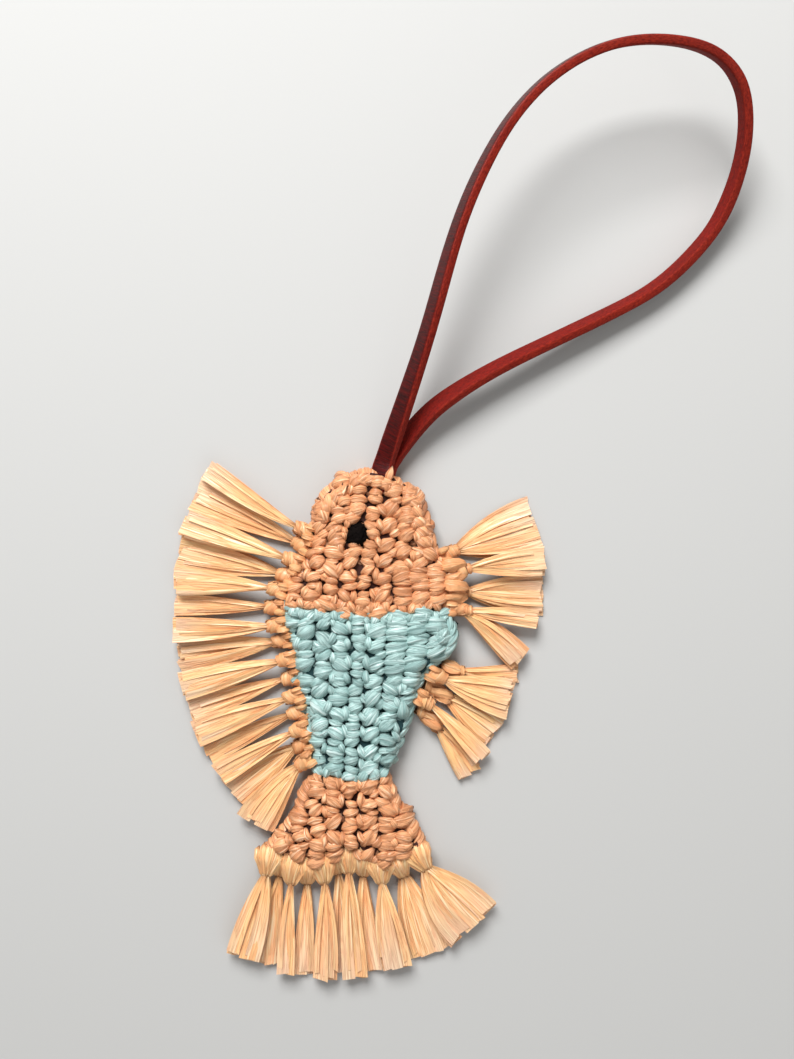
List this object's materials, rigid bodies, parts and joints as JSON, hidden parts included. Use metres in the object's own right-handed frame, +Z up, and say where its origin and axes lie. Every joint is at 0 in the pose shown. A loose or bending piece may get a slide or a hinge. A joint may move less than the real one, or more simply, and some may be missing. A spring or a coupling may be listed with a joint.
{
  "type": "crocheted raffia fish charm with a leather lace loop",
  "caption": "Flat crocheted raffia fish charm with tasselled fins and tail, a yarn eye and a leather lace hanging loop at its nose.",
  "frame": {"origin": "on the table under the middle of the fish's own box, tassels included and the leather lace left out", "axes": "+Z up from the table, +Y along the fish towards its nose, +X to the right as seen from above with the nose away from the viewer"},
  "size_m": [0.1399, 0.2252, 0.0256],
  "materials": {
    "tan_raffia": "satin crocheted raffia ribbon, tan",
    "aqua_raffia": "satin crocheted raffia ribbon, pale aqua",
    "peach_raffia": "glossy pleated raffia ribbon, pale peach",
    "black_yarn": "matt fuzzy yarn, near black",
    "red_leather": "dark red split leather lace, smooth outside and suede inside"
  },
  "bodies": {
    "root": {"fish_head": "tan_raffia", "fish_body": "aqua_raffia", "fish_tail": "tan_raffia", "eye": "black_yarn", "back_fin_tassel_01": "peach_raffia", "back_fin_tassel_02": "peach_raffia", "back_fin_tassel_03": "peach_raffia", "back_fin_tassel_04": "peach_raffia", "back_fin_tassel_05": "peach_raffia", "back_fin_tassel_06": "peach_raffia", "back_fin_tassel_07": "peach_raffia", "back_fin_tassel_08": "peach_raffia", "back_fin_tassel_09": "peach_raffia", "back_fin_tassel_10": "peach_raffia", "back_fin_tassel_11": "peach_raffia", "back_fin_tassel_12": "peach_raffia", "back_fin_tassel_13": "peach_raffia", "back_fin_tassel_14": "peach_raffia", "back_fin_tassel_15": "peach_raffia", "front_fin_tassel_01": "peach_raffia", "front_fin_tassel_02": "peach_raffia", "front_fin_tassel_03": "peach_raffia", "front_fin_tassel_04": "peach_raffia", "rear_fin_tassel_01": "peach_raffia", "rear_fin_tassel_02": "peach_raffia", "rear_fin_tassel_03": "peach_raffia", "rear_fin_tassel_04": "peach_raffia", "rear_fin_tassel_05": "peach_raffia", "tail_fin_tassel_01": "peach_raffia", "tail_fin_tassel_02": "peach_raffia", "tail_fin_tassel_03": "peach_raffia", "tail_fin_tassel_04": "peach_raffia", "tail_fin_tassel_05": "peach_raffia", "tail_fin_tassel_06": "peach_raffia", "tail_fin_tassel_07": "peach_raffia", "tail_fin_tassel_08": "peach_raffia", "tail_fin_tassel_09": "peach_raffia", "tail_fin_tassel_10": "peach_raffia", "tail_fin_tassel_11": "peach_raffia", "hanging_lace": "red_leather"}
  },
  "joints": []
}
